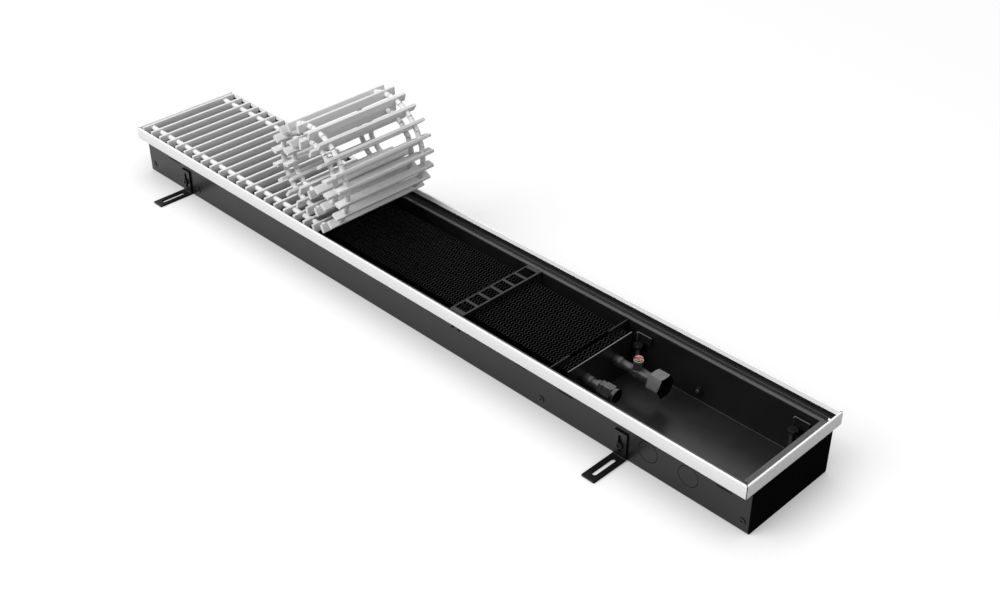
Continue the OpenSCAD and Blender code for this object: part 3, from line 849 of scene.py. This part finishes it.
fitting_hex = hexagon(18, FLAT_UP)
hexed = [(358.4, fitting_hex * 0.97), (359.0, fitting_hex), (364.6, fitting_hex), (365.3, fitting_hex * 0.97)]
front_rings = stepped([*grommet, (343.5, 353, 6.6), (352, 358.4, 8.5)], 0.4)[:-1]
front_rings += [(358.4, 8.2), *hexed, (365.3, 6.9), (365.9, 6.5), (370.6, 6.5),
                *arc(370.9, 7.1, 0.3, -90, 0, 2), *arc(372.7, 7.1, 0.3, 0, 90, 2),
                (373, 4.8), (366, 4.5), (366, 0)]
front_fitting = moved(turned(front_rings), (0, -TUBE_Y, TUBE_Z), ALONG_X)
dress("front_fitting", front_fitting, "heater", [fitting_grey])
print("tee from", round(partition_face, 1), "to", round(tee_end, 1), "mm")

# %% [markdown]
# ## Union nuts
#
# A union nut turns on its collar and pulls the pipe against it. From the open end one looks into a threaded
# mouth. The part has a hole right through, so its rings close on themselves: round the outside, over the
# rim, down the thread, over the inner shoulder and back.

# %% Large and small union nut
low, high = box_mm("back_union_nut")
NUT_FLATS = high[2] - low[2]


def union_nut(start, end, flats, mouth, shoulder, step, thread_pitch, columns=72):
    """A nut along Z: hexagon with chamfers at both ends, threaded mouth from the far end, shoulder bore
    behind it."""
    far, far_face = chamfered(flats, end, 1, FLAT_UP, columns, kept_face=1.06)
    near, near_face = chamfered(flats, start, -1, FLAT_UP, columns, kept_face=1.02)
    wall = thread_rings(start + step + 0.6, end - 1.0, mouth + 0.55, 0.55, thread_pitch, columns)
    rings = [near_face, near, far, far_face, (end, mouth + 1.1), (end - 0.8, mouth + 0.2), *wall[::-1],
             (start + step, mouth), (start + step, shoulder + 1), (start + 3.6, shoulder + 1),
             (start + 3.6, shoulder), (start, shoulder)]
    return turned(rings, columns, closed=True)


def open_end(centre_y, mouth):
    """Picks the faces of a nut that look out of the open end, and the inside of its mouth, which take painted
    shade.
    """
    def pick(centre, normal):
        inside = np.hypot(centre[:, 1] - centre_y, centre[:, 2] - TUBE_Z) < mouth
        return inside | (normal[:, 0] > 0.6)
    return pick


big_nut = union_nut(low[0], high[0], NUT_FLATS, 12.0, 8.58, 6.5, 1.8)
dress("back_union_nut", moved(big_nut, (0, TUBE_Y, TUBE_Z), ALONG_X), "back_nut",
      [nut_grey, painted_shade_coat], open_end(TUBE_Y, 13.2))

low, high = box_mm("front_union_nut")
SMALL_FLATS = 20.0
RIM = 6.0


def small_union_nut(start, end, columns=72):
    """The front nut: a hexagon that passes into a plain round rim with a narrow groove before it."""
    near, near_face = chamfered(SMALL_FLATS, start, -1, FLAT_UP, columns)
    far, far_face = chamfered(SMALL_FLATS, end - RIM, 1, FLAT_UP, columns)
    rim_r = SMALL_FLATS / 2
    wall = thread_rings(start + 7.9, end - 0.9, 8.4, 0.4, 1.3, columns)
    rings = [near_face, near, far, (end - RIM, rim_r * 0.96), (end - RIM + 0.5, rim_r * 0.94),
             (end - RIM + 1.0, rim_r), *arc(end - 0.5, rim_r - 0.5, 0.5, 0, 90, 3), (end, 8.9),
             (end - 0.7, 8.2), *wall[::-1], (start + 7.3, 8.0), (start + 7.3, 7.7), (start + 4, 7.7),
             (start + 4, 6.58), (start, 6.58)]
    return turned(rings, columns, closed=True)


small_nut = moved(small_union_nut(low[0], high[0]), (0, -TUBE_Y, TUBE_Z), ALONG_X)
dress("front_union_nut", small_nut, "front_nut", [fitting_grey, painted_shade_coat], open_end(-TUBE_Y, 9.0))
print("nuts", round(NUT_FLATS, 1), "and", SMALL_FLATS, "mm across flats")

# %% [markdown]
# ## Vent screw
#
# The vent screw is a bright ring with a copper disc on it, and the disc has a slot for a screwdriver. A
# turned surface can't hold a straight slot, so the disc is laid out in rows: they run parallel to the slot,
# each as long as the disc's chord at that distance, and the height steps down between the two rows at the
# slot's edges.

# %% Slotted disc on its ring
low, high = box_mm("vent_screw")
VENT_R = 7.0
RING_TOP = 61.9
SLOT_HALF = 0.9
SLOT_DEEP = 1.3
disc_top = high[2]


def slotted_disc(radius, bottom, top, soft=0.45, columns=21):
    """A disc with a straight slot along X. Each row is a closed ring: along the bottom and back over the
    top."""
    across = np.sin(np.linspace(-math.pi / 2, math.pi / 2, 25)) * radius
    across = np.sort(np.concatenate([across[np.abs(across) > SLOT_HALF + 0.1], [-SLOT_HALF, SLOT_HALF]]))
    steps = [(y, top) for y in across if y <= -SLOT_HALF]
    steps += [(y, top - SLOT_DEEP) for y in (-SLOT_HALF, -SLOT_HALF / 3, SLOT_HALF / 3, SLOT_HALF)]
    steps += [(y, top) for y in across if y >= SLOT_HALF]
    along = np.linspace(-1, 1, columns)
    rows = []
    for y, height in steps:
        chord = math.sqrt(max(radius ** 2 - y ** 2, 0))
        inner = math.sqrt(max((radius - soft) ** 2 - y ** 2, 0))
        x = np.concatenate([along * inner, [chord, chord, -chord, -chord]])
        rim = np.array([1, 0, 0, 1]) * (min(height, top - soft) - bottom) + bottom
        z = np.concatenate([np.full(columns, height), rim])
        rows.append(xyz(x, y, z))
    return grid(np.array(rows), loop_columns=True, caps=True)


disc = slotted_disc(6.55, RING_TOP - 0.2, disc_top)
vent_stem = turned([(low[2], 0), (low[2] + 0.4, 3.6), (low[2] + 0.8, 4.0), (60.35, 4.0), (60.35, 0)], 32)
vent_place = (vent_x, TUBE_Y, 0)
slot_turn = np.array([[0.8, -0.6, 0], [0.6, 0.8, 0], [0, 0, 1]])


def in_slot(centre, normal):
    """The slot's floor and walls, painted dark as shade: below the disc's top, inside its rim, not the
    underside.
    """
    off_axis = np.hypot(centre[:, 0] - vent_x, centre[:, 1] - TUBE_Y)
    return (centre[:, 2] < disc_top - 0.4) & (normal[:, 2] > -0.5) & (off_axis < 6.2)


disc = moved(disc, vent_place, slot_turn)
piece("vent_disc", disc, "vent", [copper, painted_shade_coat], ["vent_screw"], in_slot)
ring = turned([(60.3, 0), *arc(60.6, VENT_R - 0.3, 0.3, -90, 0, 3),
               *arc(RING_TOP - 0.4, VENT_R - 0.4, 0.4, 0, 90, 3), (RING_TOP, 0)])
piece("vent_ring", moved(together([ring, vent_stem]), vent_place), "vent", [bright_ring])
print("vent disc", len(disc[1]), "faces, top at", round(disc_top, 1), "mm")

# %% [markdown]
# ## Floor brackets
#
# Each bracket is a strip of 2.5 mm steel, bent square, with a long slot in the foot for the floor bolt and
# a slot in the leg for the height. A boolean could cut the slots, but it leaves long thin faces. Instead
# the strip is two halves that meet along the middle line and part around each slot. The distance along the
# strip is then carried round the bend, so the same strip gives leg, bend and foot.

# %% Slotted strips bent square
low, high = box_mm("floor_brackets")
STRIP_T = 2.5
STRIP_HALF = 11.0
BEND_R = 1.6
CORNER_R = 1.2
BRACKET_X = (low[0] + STRIP_HALF, high[0] - STRIP_HALF)
LEG_GAP = 0.3
BEND_LENGTH = BEND_R * math.pi / 2
leg_middle_y = WALL_OUTSIDE + LEG_GAP + STRIP_T / 2
leg_top = high[2]
foot_end = high[1]
leg_length = leg_top - STRIP_T / 2 - BEND_R
foot_length = foot_end - leg_middle_y - BEND_R
strip_length = leg_length + BEND_LENGTH + foot_length
slots = [(strip_length - 31.5, 43.0, 7.0), (leg_top - 23.5, 27.4, 6.4)]


def slot_edge(s):
    """How far the slots open at the distance s: half the width, falling to nothing along the round ends."""
    edge = np.zeros(len(s))
    for middle, length, width in slots:
        past = np.maximum(np.abs(s - middle) - (length - width) / 2, 0)
        edge = np.maximum(edge, np.sqrt(np.maximum((width / 2) ** 2 - past ** 2, 0)))
    return edge


def strip_stations():
    """Distances along the strip: close together round the slots' ends, the bend and the rounded corners."""
    sets = [np.linspace(0, strip_length, 30), leg_length + np.linspace(0, BEND_LENGTH, 9)]
    lean = 1 - np.cos(np.linspace(0, math.pi / 2, 8))
    for middle, length, width in slots:
        for side in (-1, 1):
            sets.append(middle + side * (length / 2 - lean * width / 2))
    sets += [lean * CORNER_R, strip_length - lean * CORNER_R]
    stations = np.unique(np.round(np.concatenate(sets), 4))
    return stations[np.concatenate([[True], np.diff(stations) > 0.02])]


def bent(s, off):
    """Carries the distance s and the offset off from the strip's middle layer round the bend, to (y, z)."""
    swing = np.clip((s - leg_length) / BEND_R, 0, math.pi / 2)
    before, after = np.minimum(s, leg_length), np.maximum(s - leg_length - BEND_LENGTH, 0)
    y = leg_middle_y + BEND_R * (1 - np.cos(swing)) + after + off * np.cos(swing)
    z = leg_top - before - BEND_R * np.sin(swing) + off * np.sin(swing)
    return y, z


def bracket():
    """One back bracket at x = 0: for each half a tube of four edges, and the walls of the slots."""
    s = strip_stations()
    inner = slot_edge(s)
    from_end = np.maximum(np.minimum(s, strip_length - s), 0)
    outer = STRIP_HALF - CORNER_R + np.sqrt(CORNER_R ** 2 - np.maximum(CORNER_R - from_end, 0) ** 2)
    edges = ((inner, -1), (outer, -1), (outer, 1), (inner, 1))
    half = np.array([xyz(across, *bent(s, off * STRIP_T / 2)) for across, off in edges]).transpose(1, 0, 2)
    parts = [grid(half, caps=True)]
    open_rows = np.flatnonzero(inner > 0)
    for rows in np.split(open_rows, np.flatnonzero(np.diff(open_rows) > 1) + 1):
        wall = half[rows[0] - 1:rows[-1] + 2]
        parts.append(grid(wall[:, [3, 0]]))
    return both_sides(together(parts), 0)


def bracket_faces(centre, normal):
    """1 for the edges that look along the trough and the leg's top, painted dark as shade, 2 for the inner
    side of the bend, painted pale as a highlight.
    """
    dark = (np.abs(normal[:, 0]) > 0.5) | ((normal[:, 2] > 0.5) & (centre[:, 2] > 10))
    bend = (normal[:, 2] > 0.25) & (np.abs(normal[:, 1]) > 0.25) & (centre[:, 2] < 8)
    return np.where(bend, 2, dark)


brackets = both_sides(copies(bracket(), [(x, 0, 0) for x in BRACKET_X]))
dress("floor_brackets", brackets, "feet", [bracket_coat, painted_shade_coat, painted_fold_highlight], bracket_faces,
      SHEET_BEVEL)
print("strip of", round(strip_length, 1), "mm with", len(slots), "slots")

# %% [markdown]
# ## Screws and rivets
#
# Small things decide whether the sheet looks assembled: a cap screw with a hexagon socket holds each
# bracket, with a nut inside, and blind rivets with flat heads join the end plates, the holders and the
# ladder bracket to the walls. The rim of each head shows a dark crescent where it looks up and to the
# right, so the faces there, and the hole in the head, are painted dark as shade.

# %% Bracket screws and nuts
SCREW_Z = 21.0
head_face = box_mm("bracket_screws")[1][1]
head_under = head_face - 3.2
socket = hexagon(5)
screw_rings = [(WALL_INSIDE - 7, 0), (WALL_INSIDE - 7, 2.4), (WALL_INSIDE - 6.4, 3.0), (head_under, 3.0),
               *arc(head_under + 0.3, 4.9, 0.3, -90, 0, 2), (head_face - 1.2, 5.2),
               *arc(head_face - 0.8, 4.4, 0.8, 0, 90, 4), (head_face, socket * 1.06),
               (head_face - 0.2, socket), (head_face - 2.2, socket), (head_face - 2.2, 0)]
screw = turned(screw_rings)
nut_top, nut_face = chamfered(10, WALL_INSIDE - 5, -1)
nut_rings = [nut_face, nut_top, (WALL_INSIDE - 0.05, hexagon(10)), (WALL_INSIDE - 0.05, 3.05),
             (WALL_INSIDE - 5, 3.05)]
nut = turned(nut_rings, closed=True)
screws = both_sides(copies(together([screw, nut]), [(x, 0, SCREW_Z) for x in BRACKET_X], ALONG_Y))
# The screw's end past the nut is painted pale, as a painted highlight.
dress("bracket_screws", screws, "heater", [black_zinc, stud_end_highlight],
      lambda centre, normal: np.abs(centre[:, 1]) < WALL_INSIDE - 5.1)

# %% Blind rivets
RIVET_LOW_Z, RIVET_HIGH_Z = 15.0, 48.0
RIVET_X = (-636, -505, 298, 635)
LADDER_RIVET_X = (123, 136)
flange_inside = WALL_INSIDE - 1.2
rivet_shank = [(flange_inside - 0.9, 0), (flange_inside - 0.9, 1.2), (flange_inside - 0.7, 2.2),
               (flange_inside, 2.6), (flange_inside, 1.6), (WALL_OUTSIDE, 1.6)]


def rivet(head_r):
    """A blind rivet: shank, a flat head of that radius with a soft rim, and the hole that its pin has
    left."""
    head = [(WALL_OUTSIDE, head_r), *arc(WALL_OUTSIDE + 0.55, head_r - 0.35, 0.35, 0, 90, 3),
            (WALL_OUTSIDE + 0.95, 1.6), (WALL_OUTSIDE + 0.75, 1.3), (WALL_OUTSIDE - 1.0, 1.2),
            (WALL_OUTSIDE - 1.0, 0)]
    return turned([*rivet_shank, *head], 32)


rivet_spots = [(x, RIVET_LOW_Z, 5.6) for x in RIVET_X] + [(x, RIVET_HIGH_Z, 3.0) for x in LADDER_RIVET_X]
rivets = both_sides(together(moved(rivet(head_r), (x, 0, z), ALONG_Y) for x, z, head_r in rivet_spots))


def rivet_shade(centre, normal):
    """The sides of the rim that look up and to the right, and the hole in the head, painted dark as shade."""
    return (normal[:, 0] + normal[:, 2] > 0.25) | (np.abs(centre[:, 1]) < WALL_OUTSIDE - 0.02)


dress("wall_rivets", rivets, "heater", [trough_coat, painted_shade_coat], rivet_shade)
print(2 * len(rivet_spots), "rivets and", 2 * len(BRACKET_X), "bracket screws")

# %% [markdown]
# ## Folded sheets that stay as the CAD has them
#
# The trough, the end plates, the tubes and the inner plates keep their construction meshes; they only take
# their finish. A bevel modifier breaks the cut edges of the sheets by two tenths of a millimetre. Along the
# partition's top and on the folded tabs in the walls, the edges catch the light as a fine pale line, painted
# on as a highlight. The end plates, grooves and slots are painted dark as shade, the trough's floor is
# painted paler as light, and the fold where it turns up into a wall carries a painted highlight.

# %% Finishes on the construction pieces
def partition_edge(centre, normal):
    """The partition's top edge, painted pale as a highlight: faces that look up, near the top."""
    return (normal[:, 2] > 0.9) & (centre[:, 2] > 60)


def between(values, low, high):
    """True for the values inside the open span low to high."""
    return (values > low) & (values < high)


def trough_edges(centre, normal):
    """1 for the tabs' top edges and the side of their short return flange, painted as highlights, 2 in
    grooves and slots, painted as shade, 3 on the floor, painted lighter, and 4 in the fold where the floor
    turns up into a wall, painted as a highlight."""
    off, height = np.abs(centre[:, 1]), centre[:, 2]
    tab = between(off, 74, 79) & (height > 49)
    pale = tab & ((normal[:, 2] > 0.9) | ((normal[:, 0] > 0.9) & (off < 77)))
    groove = between(off, 81.2, 82.55) & between(height, 10, 60)
    level = (normal[:, 2] > 0.9) & (height < 3) & (off < 80)
    fold = between(normal[:, 2], 0.15, 0.97) & (height < 3.5) & (off > 79)
    return np.select([groove, level, fold], [2, 3, 4], pale)


kept = {
    "trough": ([trough_coat, painted_edge_highlight, painted_shade_coat, painted_light_floor_coat, painted_fold_highlight], trough_edges),
    # The end plates take the painted shade.
    "end_plate_left": ([painted_shade_coat], None),
    "end_plate_right": ([painted_shade_coat], None),
    "exchanger_tubes": ([tube_lacquer], None),
    "exchanger_holders": ([trough_coat], None),
    "partition": ([trough_coat, painted_edge_highlight], partition_edge),
    "cross_bracket": ([trough_coat], None),
    "corner_keys": ([key_metal], None),
}
for name, (finishes, pick) in kept.items():
    sheet = frame["nodes"][name]
    sheet.data.materials.clear()
    wear(sheet.data, finishes, pick)
    soften(sheet, SHEET_BEVEL, 35)
print(len(kept), "construction pieces dressed")

# %% [markdown]
# ## Floor, world and light
#
# The heater stands in a white studio. The camera, mirrors and glass see a plain white world and floor,
# while matt surfaces receive a lower even light and what bounces up from a grey floor. So the background
# stays white and the black sheet stays black. For the camera the floor darkens in two ways: by how much of
# the sky the heater hides from each spot, and by the shade that the key light leaves on the far side. The
# key light stands high at the front, and a weak fill light stands high at the right.

# %% White world
SKY_DIFFUSE = 0.45


def seen_rays(owner):
    """1 for what the camera, mirrors and glass see, and 0 for the light that matt surfaces receive."""
    rays = node(owner, "LightPath").outputs
    seen = rays["Is Camera Ray"]
    for kind in ("Is Glossy Ray", "Is Transmission Ray"):
        seen = node(owner, "Math", {0: seen, 1: rays[kind]}, operation="MAXIMUM").outputs[0]
    return seen


world = bpy.data.worlds.new("white studio")
bpy.context.scene.world = world
world.use_nodes = True
background = world.node_tree.nodes["Background"].inputs
background["Color"].default_value = (1, 1, 1, 1)
level = node(world, "MapRange", {"Value": seen_rays(world), "To Min": SKY_DIFFUSE})
world.node_tree.links.new(level.outputs["Result"], background["Strength"])
print("the sky's light on matt surfaces:", SKY_DIFFUSE)

# %% Floor
FLOOR_HALF = 6
FLOOR_DROP = 0.0002
LIT_SHARE, GLOW_SHARE = 0.33, 0.63
SHADE_REACH = 0.075
floor_mesh = bpy.data.meshes.new("floor")
corners = [(FLOOR_HALF * x, FLOOR_HALF * y, 0) for x, y in ((-1, -1), (1, -1), (1, 1), (-1, 1))]
floor_mesh.from_pydata(corners, [], [(0, 1, 2, 3)])
floor = bpy.data.objects.new("floor", floor_mesh)
bpy.context.scene.collection.objects.link(floor)
floor.location.z = -FLOOR_DROP
paper = finish("white floor", Base_Color=(0.20, 0.20, 0.20), Roughness=1.0, Specular_IOR_Level=0.0)
floor_mesh.materials.append(paper)
lit = node(paper, "BsdfDiffuse", {"Color": (LIT_SHARE, LIT_SHARE, LIT_SHARE, 1)})
open_sky = node(paper, "AmbientOcclusion", {"Distance": SHADE_REACH}, samples=8)
strength = node(paper, "Math", {0: open_sky.outputs["AO"], 1: GLOW_SHARE}, operation="MULTIPLY")
glow = node(paper, "Emission", {"Color": (1, 1, 1, 1), "Strength": strength.outputs[0]})
shown = node(paper, "AddShader", {0: lit.outputs[0], 1: glow.outputs[0]})
grey = paper.node_tree.nodes["Principled BSDF"].outputs[0]
both = node(paper, "MixShader", {0: seen_rays(paper), 1: grey, 2: shown.outputs[0]})
paper.node_tree.links.new(both.outputs[0], paper.node_tree.nodes["Material Output"].inputs["Surface"])
print("floor of", floor.dimensions.x, "m")

# %% Lights
LAMP_DISTANCE, LAMP_SIZE = 8.0, 5.4


def lamp(name, direction, power):
    """A square area light that looks at the heater from that direction."""
    light = bpy.data.lights.new(name, "AREA")
    light.shape, light.size, light.energy = "SQUARE", LAMP_SIZE, power
    made = bpy.data.objects.new(name, light)
    bpy.context.scene.collection.objects.link(made)
    towards = Vector(direction).normalized()
    made.location = towards * LAMP_DISTANCE
    made.rotation_euler = towards.to_track_quat("Z", "Y").to_euler()
    made.visible_glossy = False


lamp("key", (-0.22, -0.59, 0.71), 698)
lamp("fill", (0.64, 0.0, 0.77), 88)

# %% [markdown]
# ## Camera
#
# The camera stands where the photograph was taken from. It was worked out from the four corners of the
# frame, whose sides give two vanishing points, and so the direction and the focal length.

# %% Camera
camera = bpy.data.objects.new("camera", bpy.data.cameras.new("camera"))
bpy.context.scene.collection.objects.link(camera)
bpy.context.scene.camera = camera
LOOKS_DOWN, FROM_RIGHT = 34.505, 45.054
camera.location = (1.30074, -1.16219, 1.18372)
camera.rotation_euler = (math.radians(90 - LOOKS_DOWN), 0, math.radians(FROM_RIGHT))
camera.data.lens = 49.74
camera.data.sensor_width = 36
camera.data.sensor_fit = "HORIZONTAL"
bpy.context.scene.view_settings.view_transform = "Standard"
print("camera", [round(v, 3) for v in camera.location], camera.data.lens, "mm")
